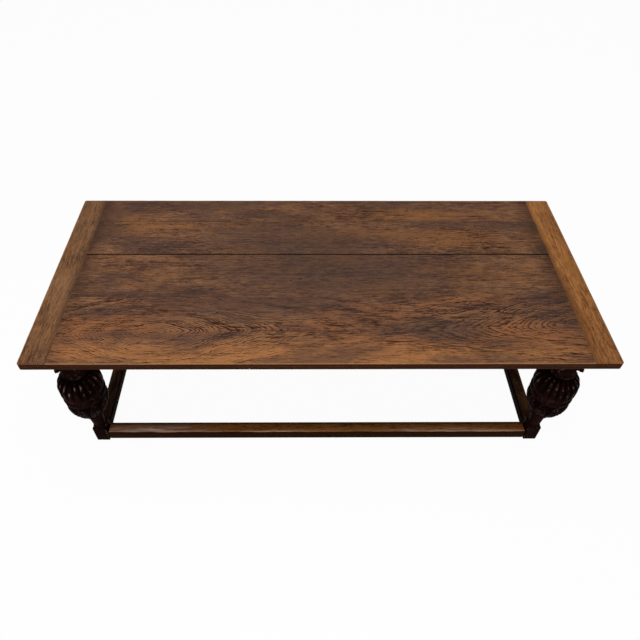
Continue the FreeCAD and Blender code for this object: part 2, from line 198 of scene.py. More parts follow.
def setStops(ramp, stops):
    while len(ramp.elements) < len(stops):
        ramp.elements.new(1)
    for element, (place, value) in zip(ramp.elements, stops):
        element.position = place
        element.color = (*value, 1)


def emptyTree(owner):  # of a material or the world
    owner.use_nodes = True
    owner.node_tree.nodes.clear()
    return Wire(owner.node_tree)


def newFinish(name):
    material = bpy.data.materials.new(name)
    start = emptyTree(material)
    place = start.add("TexCoord", out="Object")
    parts = start.add("SeparateXYZ", {}, {0: place})
    return material, start, [parts.out(axis) for axis in "XYZ"]


def endFinish(start, base, roughness, height, bumpDepth, fixed):
    bump = start.add("Bump", {}, {"Height": height, "Distance": bumpDepth, "Strength": 1})
    sockets = {"Base Color": base, "Roughness": roughness, "Normal": bump, **fixed}
    shader = start.add("BsdfPrincipled", {}, sockets)
    start.add("OutputMaterial", {}, {"Surface": shader})


# Oak: rings of a log cut by a board, with pores, streaks, stains, dirt in the seams, and worn arrises with
# a painted highlight along them
oakLook = {
    "grain": "xyz",  # the axes along the grain, across the board and through it
    "pith": 0.7,  # where the heart of the log lies across the board, or points along the grain
    "heart": 0.05,  # how far it lies below the face, or points along the grain
    "knots": (),  # place along, place across, size
    "spread": 2,  # how round the rings' arches are: 2 for a true log, less for pointed arches
    "figure": 1.0,  # how clearly the rings show, or points along the grain
    "ring": 0.0052,
    "ringShare": 0.22,
    "streakShare": 0.6,
    "cloudShare": 0.6,
    "lineShare": 0.22,
    "seed": 0,
    "dark": (0.034, 0.015, 0.010),
    "mid": (0.122, 0.057, 0.032),
    "pale": (0.260, 0.124, 0.060),
    "warm": (0.25, 0.105, 0.034),
    "warmShare": 0.7,
    "warmZones": (),  # middles and reaches, in x and in y, of ruddy patches
    "grey": (0.056, 0.035, 0.030),
    "greyShare": 0.75,
    "greyZone": None,  # middle and reach, in x and in y, of a dull stain
    "rubZones": (),  # middles and reaches, in x and in y, of pale strokes, partly rubbed wear and partly painted highlight
    "rub": (0.62, 0.48, 0.40),
    "goldZone": None,  # across-board places between which a golden strip fades in: worn wood on the top, a painted highlight band on the stretchers
    "gold": (0.350, 0.148, 0.055),
    "seams": (),  # across-board places of the dirty seams, and how dirty
    "seamReach": 0.006,
    "stain": None,  # distance from the middle, along the grain, of the stained ends
    "stainShare": 0.55,
    "stainTone": (0.034, 0.016, 0.012),
    "poreTint": (0.35, 0.30, 0.28),
    "knotTone": (0.018, 0.009, 0.006),
    "dirt": (0.012, 0.007, 0.005),
    "faceLevel": None,  # height of the face, where the edge below it is dark
    "edge": (0.062, 0.0175, 0.0060),
    "edgeFade": (0.0032, 0.0012),  # how far below the face the dark edge begins
    "arris": None,  # axis and place of the outer arris, painted pale as wear and as a painted highlight
    "arrisReach": 0.006,
    "arrisShare": 0.6,
    "patchyArris": False,  # the pale arris, wear and painted highlight, shows in places only
    "worn": (0.33, 0.17, 0.075),
    "rough": 0.42,
    "specular": 0.012,
    "bump": 0.0004,
}


def oak(name, **changes):
    look = {**oakLook, **changes}
    material, start, (x, y, z) = newFinish(name)
    places = dict(zip("xyz", (x, y, z)))
    along, across, through = [places[axis] for axis in look["grain"]]
    seed = look["seed"]

    def fibre(length, width, detail, roughness=0.55):  # stretched noise, in metres
        stretched = start.vector(along * (1 / length), across * (1 / width), through * (1 / width) + seed)
        return start.noise(stretched, 1, detail, roughness)

    def patch(xSpan, ySpan):  # 1 in the middle of a place on the board, falling off over its reaches
        return x.hill(*xSpan) * y.hill(*ySpan)

    # Rings of the log where the board cuts them
    waver = ((fibre(0.5, 0.14, 2) - 0.5) * 0.035 + (fibre(0.15, 0.05, 2) - 0.5) * 0.022
             + (fibre(0.07, 0.02, 2) - 0.5) * 0.006)
    heart, pith, figure = [part if isinstance(part, float) else along.curve(part)
                           for part in (look["heart"], look["pith"], look["figure"])]
    depth = through - (look["faceLevel"] or 0) + heart
    offset = across + waver - pith
    knotMask = None
    for knotAlong, knotAcross, size in look["knots"]:
        apart = (((along - knotAlong) * 0.45) ** 2 + (across - knotAcross) ** 2).root()
        depth = depth + (1 - apart.fade(0, size * 4)) * size * 1.6
        spot = 1 - apart.fade(size * 0.25, size)
        knotMask = spot if knotMask is None else knotMask.most(spot)
    arch = abs(offset) ** look["spread"] * 0.1 ** (2 - look["spread"])
    distance = (arch + depth * depth).root()
    bands = start.noise(start.vector(distance * 95, along * 1.1, seed), 1, 3, 0.6)
    crinkle = (fibre(0.035, 0.009, 3, 0.6) - 0.5) * 0.9
    saw = (distance / look["ring"] + (bands - 0.5) * 3 + crinkle).fraction()
    patchy = fibre(0.22, 0.045, 3).fade(0.34, 0.62)
    vein = ((1 - saw) ** 2 * saw.fade(0, 0.10) - 0.27) * (0.35 + patchy * 0.8) * figure + 0.27

    # Streaks, pores and clouds of colour
    broad = fibre(0.17, 0.012, 4, 0.6)
    fine = fibre(0.034, 0.0046, 4, 0.65)
    flecks = fibre(0.011, 0.0055, 3, 0.6).fade(0.50, 0.68)
    mottle = fibre(0.075, 0.035, 4, 0.65)
    darkLines = fibre(0.10, 0.0046, 2, 0.45).fade(0.54, 0.62)
    paleLines = fibre(0.06, 0.0042, 2, 0.45).fade(0.55, 0.63)
    pores = fibre(0.030, 0.0011, 2).fade(0.56, 0.72) * (0.35 + vein * 0.65)
    cloud = fibre(0.30, 0.10, 5, 0.62)
    warmth = fibre(0.38, 0.12, 4, 0.6).fade(0.44, 0.66)
    tone = (0.5 + (bands - 0.5) * look["ringShare"] * 1.8 - (vein - 0.27) * look["ringShare"] * 1.7
            + (broad - 0.5) * look["streakShare"] * 1.6 + (fine - 0.5) * look["streakShare"] * 3.6
            - (flecks - 0.3) * look["streakShare"] * 0.55 + (mottle - 0.5) * look["cloudShare"] * 1.3
            + (cloud - 0.5) * look["cloudShare"] * 1.9 + (paleLines - darkLines) * look["lineShare"])
    base = tone.ramp(((0.08, look["dark"]), (0.5, look["mid"]), (0.95, look["pale"])))

    # Ruddy, golden, dull and rubbed places; on the stretchers the golden band is a painted highlight and
    # the pale strokes are partly one
    for xSpan, ySpan in look["warmZones"]:
        ruddy = (x + (mottle - 0.5) * 0.3).hill(*xSpan) * (y + (cloud - 0.5) * 0.1).hill(*ySpan)
        warmth = warmth.most(ruddy * 1.4).least(1)
    base = (warmth * look["warmShare"] * (tone * 1.2)).least(0.85).mix(base, look["warm"])
    # a golden strip across the board: worn wood on the top, a painted highlight band on the stretchers, a
    # stain on the ends
    if look["goldZone"]:
        gold = (across + (cloud - 0.5) * 0.12).fade(*look["goldZone"])
        base = (gold * (0.34 + tone * 0.8)).least(0.9).mix(base, look["gold"])
    dull = (fibre(0.42, 0.13, 4) + (mottle - 0.5) * 0.3).fade(0.44, 0.62) * look["greyShare"]
    if look["greyZone"]:
        dull = dull.most(patch(*look["greyZone"]) * (0.55 + cloud * 0.9)).least(0.85)
    base = (dull * (1.1 - fine * 0.6)).mix(base, look["grey"])
    # pale strokes, partly rubbed wear and partly painted highlight
    for xSpan, ySpan in look["rubZones"]:
        strokes = fibre(0.16, 0.0085, 3).fade(0.44, 0.66) * 0.75 + fine.fade(0.45, 0.7) * 0.35
        base = (patch(xSpan, ySpan) * strokes).least(0.9).mix(base, look["rub"])

    # Pores, knots, stained ends and dirty seams
    base = (pores * 0.7).shade(base, look["poreTint"])
    if knotMask:
        base = (knotMask * 0.85).mix(base, look["knotTone"])
    if look["stain"]:
        ends = abs(along) + (mottle - 0.5) * 0.16 + (cloud - 0.5) * 0.10 + (fine - 0.5) * 0.03
        stained = ends.fade(look["stain"] - 0.085, look["stain"] + 0.01)
        base = (stained * look["stainShare"]).mix(base, look["stainTone"])
    # breaks up both the dirt in the seams and the painted highlight on the arris
    dirtAndGlintBreak = 0.45 + fibre(0.10, 0.02, 3) * 0.8
    for place, strength in look["seams"]:
        near = 1 - abs(across - place).fade(look["seamReach"] * 0.3, look["seamReach"])
        base = (near * dirtAndGlintBreak * strength).least(1).mix(base, look["dirt"])

    # Dark edge, and the outer arris painted pale as wear and as a painted highlight
    if look["faceLevel"]:
        deep, shallow = [look["faceLevel"] - drop for drop in look["edgeFade"]]
        below = 1 - z.fade(deep, shallow)
        edgeTone = fine.ramp(((0.3, tuple(0.55 * part for part in look["edge"])), (0.75, look["edge"])))
        base = below.mix(base, edgeTone)
    if look["arris"]:
        axis, place = look["arris"]
        near = 1 - abs(places[axis] - place).fade(look["arrisReach"] * 0.25, look["arrisReach"])
        high = z.fade(deep, shallow)
        if look["patchyArris"]:
            near = near * (fibre(0.32, 0.05, 3).fade(0.40, 0.58) * 0.85 + 0.15) * (0.4 + fine)
        # the pale arris line: rubbed wear and painted highlight
        base = (near * high * (0.25 + dirtAndGlintBreak * look["arrisShare"])).least(1).mix(base, look["worn"])

    roughness = (look["rough"] + (fine - 0.5) * 0.22 + pores * 0.15 + dull * 0.06).least(0.9)
    height = fine * 0.35 + broad * 0.25 - vein * 0.2 - pores * 0.6
    endFinish(start, base, roughness, height, look["bump"], {"Specular IOR Level": look["specular"]})
    return material


# Dark polish over carved oak: brown on the high places, black in the hollows, and painted highlights,
# partly rubbed wear, along the crests
polishLook = {
    "grain": "zxy",
    "seed": 0,
    "black": (0.0035, 0.0011, 0.0009),
    "brown": (0.0165, 0.0047, 0.0033),
    "worn": (0.042, 0.016, 0.011),
    "wornShare": 0.35,
    "rubbedGlint": (0.30, 0.215, 0.185),  # painted highlight, partly rubbed wear, along the crests of the carving
    "rough": 0.28,
    "specular": 0.002,
    "bump": 0.0003,
}


def polish(name, **changes):
    look = {**polishLook, **changes}
    material, start, (x, y, z) = newFinish(name)
    places = dict(zip("xyz", (x, y, z)))
    along, across, through = [places[axis] for axis in look["grain"]]
    hollow, crest = [start.add("Attribute", {"attribute_name": part}, out="Fac")
                     for part in ("hollow", "crest")]
    stretched = start.vector(along * 9, across * 160, through * 160 + look["seed"])
    fine = start.noise(stretched, 1, 4, 0.6)
    cloud = start.noise(start.vector(along * 7, across * 12, through * 12 + look["seed"]), 1, 3)
    worn = start.noise(start.vector(along * 30, across * 30, through * 30 + look["seed"]), 1, 4, 0.65)
    tone = 0.45 + (fine - 0.5) * 0.9 + (cloud - 0.5) * 1.1 - hollow * 0.55
    base = tone.ramp(((0.15, look["black"]), (0.62, look["brown"]), (1, look["worn"])))
    base = (worn.fade(0.55, 0.75) * (1 - hollow) * look["wornShare"]).mix(base, look["worn"])
    # Painted highlight, partly rubbed wear: pale strokes where the crest layer is high
    rub = start.noise(start.vector(x * 55, y * 55, z * 42 + look["seed"]), 1, 4, 0.65).fade(0.50, 0.68)
    base = (crest * rub).mix(base, look["rubbedGlint"])
    roughness = (look["rough"] + (fine - 0.5) * 0.2 + hollow * 0.3 + (cloud - 0.5) * 0.1).least(0.9)
    endFinish(start, base, roughness, fine * 0.6 + worn * 0.4, look["bump"],
              {"Specular IOR Level": look["specular"]})
    return material


steelLook = {"bright": (0.32, 0.31, 0.29), "rust": (0.09, 0.045, 0.022), "rough": 0.38, "metal": 0.9,
             "bump": 0.0001}


def steel(name, look):
    material, start, (x, y, z) = newFinish(name)
    worn = start.noise(start.vector(x * 400, y * 400, z * 400), 1, 4, 0.65)
    spin = start.noise(start.vector(x * 1500, y * 1500, z * 60), 1, 2)
    rust = worn.fade(0.52, 0.7)
    base = rust.mix(look["bright"], look["rust"])
    roughness = look["rough"] + spin * 0.15 + rust * 0.3
    endFinish(start, base, roughness, worn, look["bump"], {"Metallic": look["metal"]})
    return material


# Pieces
def newPiece(name, mesh, material, body, node):
    data = bpy.data.meshes.new(name)
    mesh.to_mesh(data)
    mesh.free()
    piece = addObject(name, data)
    data.materials.append(material)
    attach(piece, body)
    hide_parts(node)


def smoothFaces(mesh, sharpDegrees):
    for face in mesh.faces:
        face.smooth = True
    for edge in mesh.edges:
        if len(edge.link_faces) == 2 and edge.calc_face_angle() > math.radians(sharpDegrees):
            edge.smooth = False


def onSide(point, low, high, sides):  # sides are pairs of an axis and -1 or 1
    return any(abs(point[axis] - (low if sign < 0 else high)[axis]) < 1e-5 for axis, sign in sides)


def timber(low, high, steps, bevel, segments=3, tight=(), corner=0):
    # A block cut into a grid, with rounded arrises but on its tight sides
    mesh = bmesh.new()
    bmesh.ops.create_cube(mesh, size=1)
    size = Vector(high) - Vector(low)
    bmesh.ops.scale(mesh, vec=size, verts=mesh.verts)
    bmesh.ops.translate(mesh, vec=(Vector(high) + Vector(low)) / 2, verts=mesh.verts)
    for axis in range(3):
        cuts = int(size[axis] / steps[axis])
        run = [edge for edge in mesh.edges
               if abs(edge.verts[0].co[axis] - edge.verts[1].co[axis]) > size[axis] * 0.9]
        if cuts:
            bmesh.ops.subdivide_edges(mesh, edges=run, cuts=cuts, use_grid_fill=True)
    if corner:
        upright = [edge for edge in mesh.edges if edge.calc_face_angle() > 1
                   and abs(edge.verts[0].co.z - edge.verts[1].co.z) > 1e-4
                   and not onSide((edge.verts[0].co + edge.verts[1].co) / 2, low, high, tight)]
        bmesh.ops.bevel(mesh, geom=upright, offset=corner, offset_type="OFFSET", segments=5, profile=0.5,
                        affect="EDGES", material=-1)
    arrises = [edge for edge in mesh.edges if edge.calc_face_angle() > 1
               and not onSide((edge.verts[0].co + edge.verts[1].co) / 2, low, high, tight)]
    bmesh.ops.bevel(mesh, geom=arrises, offset=bevel, offset_type="OFFSET", segments=segments, profile=0.5,
                    affect="EDGES", material=-1)
    return mesh


wornReach = 0.006  # how far from an arris the wear goes


def wearTimber(mesh, low, high, arrisWear, faceWear, seed, tight=()):
    # Inward only: the arrises are rubbed away unevenly, and the upper face is a little hollow
    middle = (Vector(low) + Vector(high)) / 2
    half = (Vector(high) - Vector(low)) / 2
    for vert in mesh.verts:
        away = vert.co - middle
        near = [1 if (axis, math.copysign(1, away[axis])) in tight else half[axis] - abs(away[axis])
                for axis in range(3)]
        rub = noise.noise(vert.co * 14 + Vector((seed, 0, 0))) * 0.5 + 0.5
        knock = max(0, noise.noise(vert.co * 45 + Vector((0, seed, 0))) - 0.25) * 1.6
        if sorted(near)[1] < wornReach:
            for axis in range(3):
                if near[axis] < wornReach:
                    vert.co[axis] -= math.copysign(arrisWear * (rub * rub + knock), away[axis])
        elif near[2] < 1e-5 and away[2] > 0:
            swell = noise.noise(Vector((vert.co.x * 2.2, vert.co.y * 9, seed))) * 0.5 + 0.5
            vert.co.z -= faceWear * swell


# Top, leaves and centre board
boardShape = {
    "endWidth": 0.107,
    "bevel": 0.0012,
    "leafBevel": 0.0007,
    "corner": 0.008,  # radius of the table's own corners
    "steps": (0.03, 0.03, 0.03),
    "arrisWear": 0.0006,
    "leafWear": 0.0002,
    "faceWear": 0.0005,
    "topSeed": 5.3,
    "sharp": 50,
}


def makeBoard(node, body, material, low, high, seed, tight=()):
    worn = body == "top"
    corner = boardShape["corner"] if node.endswith("_end") else 0
    bevel = boardShape["bevel" if worn else "leafBevel"]
    arrisWear = boardShape["arrisWear" if worn else "leafWear"]
    mesh = timber(low, high, boardShape["steps"], bevel, tight=tight, corner=corner)
    wearTimber(mesh, low, high, arrisWear, boardShape["faceWear"], seed, tight)
    smoothFaces(mesh, boardShape["sharp"])
    newPiece(node + "_timber", mesh, material, body, node)


topLow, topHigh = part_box("top_left_end")[0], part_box("top_right_end")[1]
topFace = topHigh.z
boardReach = topHigh.x - boardShape["endWidth"]
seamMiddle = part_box("top_inner_back_board")[0].y
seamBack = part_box("top_back_board")[0].y
frontEdge = topLow.y
topEdge = {"faceLevel": topFace}

topBoards = {
    "top_front_board": {
        "pith": ((-1.06, -0.345), (-0.655, -0.338), (-0.1, -0.315), (0.45, -0.338), (1.06, -0.275)),
        "heart": ((-1.06, 0.175), (-0.90, 0.150), (-0.76, 0.122), (-0.655, 0.112), (-0.55, 0.122),
                  (-0.40, 0.148), (-0.1, 0.185), (0.2, 0.217), (0.38, 0.228), (0.8, 0.185), (1.06, 0.158)),
        "figure": ((-1.06, 0.5), (-0.85, 0.8), (-0.5, 1.0), (-0.22, 0.9), (-0.08, 0.1), (0.3, 0.1),
                   (0.45, 0.7), (0.9, 0.8), (1.06, 0.6)),
        "spread": 1.45, "seed": 3.1, "ring": 0.0030, "ringShare": 0.95,
        "streakShare": 0.60, "lineShare": 0.46,
        "mid": (0.138, 0.063, 0.034), "warm": (0.27, 0.105, 0.042),
        "warmZones": (((0.07, 0.24), (-0.305, 0.07)), ((-0.85, 0.35), (-0.30, 0.11)),
                      ((0.35, 0.3), (-0.37, 0.06)), ((0.80, 0.36), (-0.34, 0.10))),
        "goldZone": (-0.34, -0.45), "stainShare": 0.3, "arris": ("y", frontEdge),
        "greyZone": ((-0.20, 0.75), (-0.17, 0.15)),
    },
    "top_inner_front_board": {
        "pith": -0.75, "seed": 7.7, "streakShare": 0.5, "lineShare": 0.18, "mid": (0.126, 0.060, 0.0345),
        "knots": ((-0.08, -0.045, 0.006), (-0.12, -0.055, 0.004)),
        "seams": ((seamMiddle, 1.1),), "greyZone": ((0.08, 0.95), (0.0, 0.30)),
    },
    "top_inner_back_board": {
        "pith": 0.9, "seed": 12.4, "mid": (0.133, 0.064, 0.0375),
        "seams": ((seamMiddle, 1.1), (seamBack, 0.12)),
        "greyZone": ((-0.05, 0.75), (0.15, 0.22)), "warmZones": (((0.62, 0.36), (0.21, 0.10)),),
    },
    "top_back_board": {
        "pith": 1.2, "seed": 18.9, "seams": ((seamBack, 0.12),), "arris": ("y", topHigh.y),
        "streakShare": 0.42, "lineShare": 0.14, "mid": (0.126, 0.0605, 0.0365),
    },
}
tightSides = {  # where boards meet: an axis, and -1 or 1
    "top_front_board": ((0, -1), (0, 1), (1, 1)),
    "top_inner_front_board": ((0, -1), (0, 1), (1, -1)),
    "top_inner_back_board": ((0, -1), (0, 1), (1, 1)),
    "top_back_board": ((0, -1), (0, 1), (1, -1)),
    "top_left_end": ((0, 1),),
    "top_right_end": ((0, -1),),
}
for node, look in topBoards.items():
    low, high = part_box(node)
    low.x, high.x = -boardReach, boardReach
    material = oak(node + "_oak", stain=boardReach, **topEdge, **look)
    makeBoard(node, "top", material, low, high, boardShape["topSeed"], tightSides[node])

endLooks = {  # the gold strip is here a stain along the joint
    "top_left_end": {
        "pith": -1.5, "seed": 31.7, "arris": ("x", topLow.x), "seams": ((-boardReach, 0.3),),
        "dark": (0.068, 0.032, 0.016), "mid": (0.176, 0.086, 0.042), "pale": (0.28, 0.140, 0.066),
        "goldZone": (-0.040 - boardReach, 0.022 - boardReach), "gold": (0.100, 0.050, 0.027),
    },
    "top_right_end": {
        "pith": 1.6, "seed": 36.2, "arris": ("x", topHigh.x), "seams": ((boardReach, 0.3),),
        "dark": (0.110, 0.042, 0.014), "mid": (0.290, 0.117, 0.037), "pale": (0.42, 0.178, 0.057),
        "goldZone": (boardReach + 0.040, boardReach - 0.022), "gold": (0.140, 0.058, 0.021),
    },
}
for node, look in endLooks.items():
    low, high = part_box(node)
    material = oak(node + "_oak", grain="yxz", greyShare=0.15, streakShare=0.42, seamReach=0.020,
                   **topEdge, **look)
    makeBoard(node, "top", material, low, high, boardShape["topSeed"], tightSides[node])

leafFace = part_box("left_leaf_end")[1].z
leafLook = {"mid": (0.105, 0.045, 0.022), "edge": (0.054, 0.0150, 0.0045), "faceLevel": leafFace,
            "edgeFade": (0.0007, 0.0001)}
leafOak = oak("leaf_oak", seed=41, pith=0.06, heart=0.12, **leafLook)
leafEndOak = oak("leaf_end_oak", grain="yxz", seed=53, pith=2.0, **leafLook)
for side, sign in (("left", -1), ("right", 1)):
    for index, part in enumerate(("front_board", "back_board", "end")):
        node = f"{side}_leaf_{part}"
        low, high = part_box(node)
        if part != "end":
            inner = min(abs(low.x), abs(high.x))
            low.x, high.x = sorted((inner * sign, boardReach * sign))
        material = leafEndOak if part == "end" else leafOak
        tight = ((0, -sign), (0, sign)) if part != "end" else ((0, -sign),)
        makeBoard(node, side + "_leaf", material, low, high, index + 3.7 * sign, tight)

for index, part in enumerate(("front", "back")):
    node = f"centre_board_{part}"
    low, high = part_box(node)
    makeBoard(node, "base", leafOak, low, high, 61 + index, ((0, -1), (0, 1)))
print("boards made")

# Legs: square blocks with a turned and carved cup and cover between them
legShape = {
    "footHeight": 0.104,
    "footHalf": 0.030,
    "abacusUnder": 0.5905,
    "abacusTop": 0.6125,
    "abacusHalf": 0.052,
    "blockHalf": 0.038,
    "stemRadius": 0.026,
    # end radius, end level as a share of the turned length, form, points
    "turning": (
        (0.026, 0.02, "bead", 6),
        (0.033, 0.21, "straight", 10),
        (0.039, 0.225, "cove", 4),
        (0.039, 0.255, "bead", 8),
        (0.090, 0.5, "swell", 34),
        (0.090, 0.588, "straight", 10),
        (0.084, 0.606, "swell", 5),
        (0.084, 0.657, "straight", 4),
        (0.091, 0.675, "swell", 5),
        (0.091, 0.736, "straight", 8),
        (0.058, 0.865, "swell", 34),
        (0.043, 0.88, "straight", 8),
        (0.043, 0.93, "bead", 10),
        (0.043, 0.95, "straight", 3),
        (0.050, 1, "cove", 6),
        (0.044, 1.034, "straight", 3),  # up into the hollow of the capital
    ),
    "around": 320,
    "lobes": 20,
    "lobeDepth": 0.0085,
    "leaves": 10,
    "leafDepth": 0.0045,
    # levels of the carving, as shares of the turned length
    "lobeSpan": (0.68, 0.8795),
    "leafSpan": (0.262, 0.585),
    "bandSpan": (0.585, 0.68),
    "ringSpan": (0.88, 0.95),
    # painted highlight, partly rubbed wear, on the plain band and on the ring under the capital
    "bandRub": 0.08,
    "ringRub": 0.12,
    "blockBevel": 0.003,
    "blockSteps": (0.008, 0.008, 0.02),
    "blockWear": 0.0008,
    # painted highlight, partly rubbed wear, along the blocks' arrises
    "blockRub": 0.7,
    "overlap": 0.001,  # of the blocks and the turning
    "hornHollow": 0.006,
    "hornDroop": 0.011,
    "scroll": 0.0095,  # radius of the knob at the end of a horn
    "sharp": 40,
}


def turnedProfile(shape):
    length = shape["abacusUnder"] - shape["footHeight"]
    radius, level = shape["stemRadius"], shape["footHeight"]
    points = [(radius, level)]
    for nextRadius, share, form, count in shape["turning"]:
        nextLevel = shape["footHeight"] + length * share
        rise = nextLevel - level
        reach = nextRadius - radius
        for step in range(1, count + 1):
            turn = step / count
            if form == "straight":
                points.append((radius + reach * turn, level + rise * turn))
            elif form == "bead":
                bulge = math.sin(math.pi * turn) * rise * 0.42
                points.append((radius + bulge, level + rise * turn))
            else:
                points.append(arcPoint(radius, level, reach, rise, turn, form))
        radius, level = nextRadius, nextLevel
    return points


def arcPoint(radius, level, reach, rise, turn, form):
    # An arc that is upright at its wider end (swell) or at its narrower end (cove)
    bend = (reach * reach + rise * rise) / (2 * abs(reach))
    sweep = math.asin(min(1, rise / bend))
    if bend < abs(reach):
        sweep = math.pi - sweep
    grows = reach > 0
    uprightLast = grows == (form == "swell")
    angle = sweep * (1 - turn) if uprightLast else sweep * turn
    drop = bend * (1 - math.cos(angle))
    height = bend * math.sin(angle)
    widest = max(radius, radius + reach) if form == "swell" else min(radius, radius + reach)
    across = widest - drop if form == "swell" else widest + drop
    along = level + rise - height if uprightLast else level + height
    return across, along


def lobeCut(shape, angle, climb):
    part = (angle * shape["lobes"] / (2 * math.pi)) % 1 - 0.5
    crest = math.sqrt(max(0, 1 - (2 * part) ** 2))
    fadeLow = min(1, climb / 0.25)
    fadeHigh = min(1, (1 - climb) / 0.07)
    depth = shape["lobeDepth"] * (1 - crest) * fadeLow * fadeHigh * (1 - 0.35 * climb)
    # painted highlight, partly rubbed wear, along the lobe's crest, strongest on the dome's upper shoulder
    crestGlint = max(0, 1 - (part / 0.16) ** 2) * max(0, 1 - ((climb - 0.62) / 0.34) ** 2)
    sunk = max(0, (climb - 0.86) / 0.14)
    return depth, min(1, (1 - crest) * fadeLow + sunk), crestGlint


def leafCut(shape, angle, climb):
    part = (angle * shape["leaves"] / (2 * math.pi)) % 1 - 0.5
    side = abs(part) * 2
    notch = 0.10 * abs(math.sin(climb * math.pi * 6))
    width = 0.96 * math.sin(math.pi * min(1, 0.18 + climb * 0.82)) ** 0.6 - notch
    inside = max(0, min(1, (width - side) / 0.10))
    vein = math.exp(-((side - 0.02) / 0.07) ** 2)
    ribs = 0.5 + 0.5 * math.cos((climb * 6 - side * 1.3) * 2 * math.pi)
    fadeEnds = min(1, climb / 0.08) * min(1, (1 - climb) / 0.10)
    cut = (1 - inside) * 0.9 + inside * (vein * 0.55 + ribs * 0.30 + side * side * 0.25)
    # painted highlight along the raised ribs of the leaves
    crestGlint = inside * max(0, 0.6 - cut) * 0.25
    return shape["leafDepth"] * cut * fadeEnds, min(1, cut) * fadeEnds, crestGlint


def carveDepth(shape, angle, level):
    # How deep the carving cuts below the turned form, how much of a hollow that is, and how much painted
    # highlight lies on its crest
    share = (level - shape["footHeight"]) / (shape["abacusUnder"] - shape["footHeight"])
    for span, cut in ((shape["lobeSpan"], lobeCut), (shape["leafSpan"], leafCut)):
        if span[0] < share < span[1]:
            return cut(shape, angle, (share - span[0]) / (span[1] - span[0]))
    # the ring and the plain band are not carved and carry painted highlight only
    for span, rub in ((shape["ringSpan"], shape["ringRub"]), (shape["bandSpan"], shape["bandRub"])):
        if span[0] < share < span[1]:
            return 0, 0, rub
    return 0, 0, 0


def makeTurning(shape):
    mesh = bmesh.new()
    verts = [mesh.verts.new((radius, 0, level)) for radius, level in turnedProfile(shape)]
    edges = [mesh.edges.new(pair) for pair in zip(verts, verts[1:])]
    bmesh.ops.spin(mesh, geom=verts + edges, cent=(0, 0, 0), axis=(0, 0, 1), angle=2 * math.pi,
                   steps=shape["around"], use_merge=True, use_duplicate=False)
    bmesh.ops.remove_doubles(mesh, verts=mesh.verts, dist=1e-6)
    rims = [edge for edge in mesh.edges if edge.is_boundary]
    bmesh.ops.holes_fill(mesh, edges=rims, sides=0)
    bmesh.ops.recalc_face_normals(mesh, faces=mesh.faces)
    hollow = mesh.verts.layers.float.new("hollow")
    # the crest layer carries painted highlight into the finish
    crest = mesh.verts.layers.float.new("crest")
    mesh.normal_update()
    moves = []
    for vert in mesh.verts:
        angle = math.atan2(vert.co.y, vert.co.x)
        depth, dark, crestGlint = carveDepth(shape, angle, vert.co.z)
        moves.append((vert, vert.co - vert.normal * depth, dark, crestGlint))
    for vert, place, dark, crestGlint in moves:
        vert.co = place
        vert[hollow] = dark
        vert[crest] = crestGlint
    return mesh


def hornCorners(block, shape):
    # The capital's sides are hollow, and its corners droop like small horns
    half = shape["abacusHalf"]
    for vert in block.verts:
        inward = 1 - (min(abs(vert.co.x), abs(vert.co.y)) / half) ** 2
        for axis in range(2):
            if abs(vert.co[axis]) > half * 0.8:
                vert.co[axis] -= math.copysign(shape["hornHollow"] * inward, vert.co[axis])
        if vert.co.z < (shape["abacusUnder"] + shape["abacusTop"]) / 2:
            vert.co.z += shape["hornDroop"] * min(1, inward * 1.2)
    scroll = shape["scroll"]
    for xSign in (-1, 1):
        for ySign in (-1, 1):
            knob = Vector((xSign * (half - scroll), ySign * (half - scroll), shape["abacusUnder"] + scroll))
            bmesh.ops.create_uvsphere(block, u_segments=16, v_segments=10, radius=scroll,
                                      matrix=Matrix.Translation(knob))


def makeLeg(shape, node, material):
    low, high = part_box(node)
    axis = (low + high) / 2
    mesh = makeTurning(shape)
    blocks = (
        (shape["footHalf"], low.z, shape["footHeight"] + shape["overlap"]),
        (shape["abacusHalf"], shape["abacusUnder"] - shape["overlap"], shape["abacusTop"]),
        (shape["blockHalf"], shape["abacusTop"], high.z),
    )
    for half, under, top in blocks:
        corners = (-half, -half, under), (half, half, top)
        block = timber(*corners, shape["blockSteps"], shape["blockBevel"])
        wearTimber(block, *corners, shape["blockWear"], 0, axis.x + axis.y)
        # painted highlight, partly rubbed wear, along the blocks' arrises
        rubbedGlint = block.verts.layers.float.new("crest")
        for vert in block.verts:
            edges = sorted((half - abs(vert.co.x), half - abs(vert.co.y), top - vert.co.z))
            vert[rubbedGlint] = shape["blockRub"] if edges[1] < shape["blockBevel"] else 0
        if half == shape["abacusHalf"]:
            hornCorners(block, shape)
        part = bpy.data.meshes.new("block")
        block.to_mesh(part)
        block.free()
        mesh.from_mesh(part)
        bpy.data.meshes.remove(part)
    bmesh.ops.translate(mesh, vec=(axis.x, axis.y, 0), verts=mesh.verts)
    smoothFaces(mesh, shape["sharp"])
    newPiece(node + "_carved", mesh, material, "base", node)


legPolish = polish("leg_polish", seed=3.3)
for depthName in ("front", "back"):
    for side in ("left", "right"):
        makeLeg(legShape, f"leg_{depthName}_{side}", legPolish)
print("legs made")

# Stretchers, with a painted highlight band along the outer part of their tops
stretcherShape = {
    "bevel": 0.010,
    "segments": 5,
    "steps": (0.02, 0.02, 0.02),
    "arrisWear": 0.0022,
    "faceWear": 0.0015,
    "sharp": 50,
}
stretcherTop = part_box("stretcher_front")[1].z
stretcherLook = {"rough": 0.38, "specular": 0.002, "pith": 0.9, "arrisReach": 0.016,
                 "patchyArris": True, "arrisShare": 1.2, "faceLevel": stretcherTop}
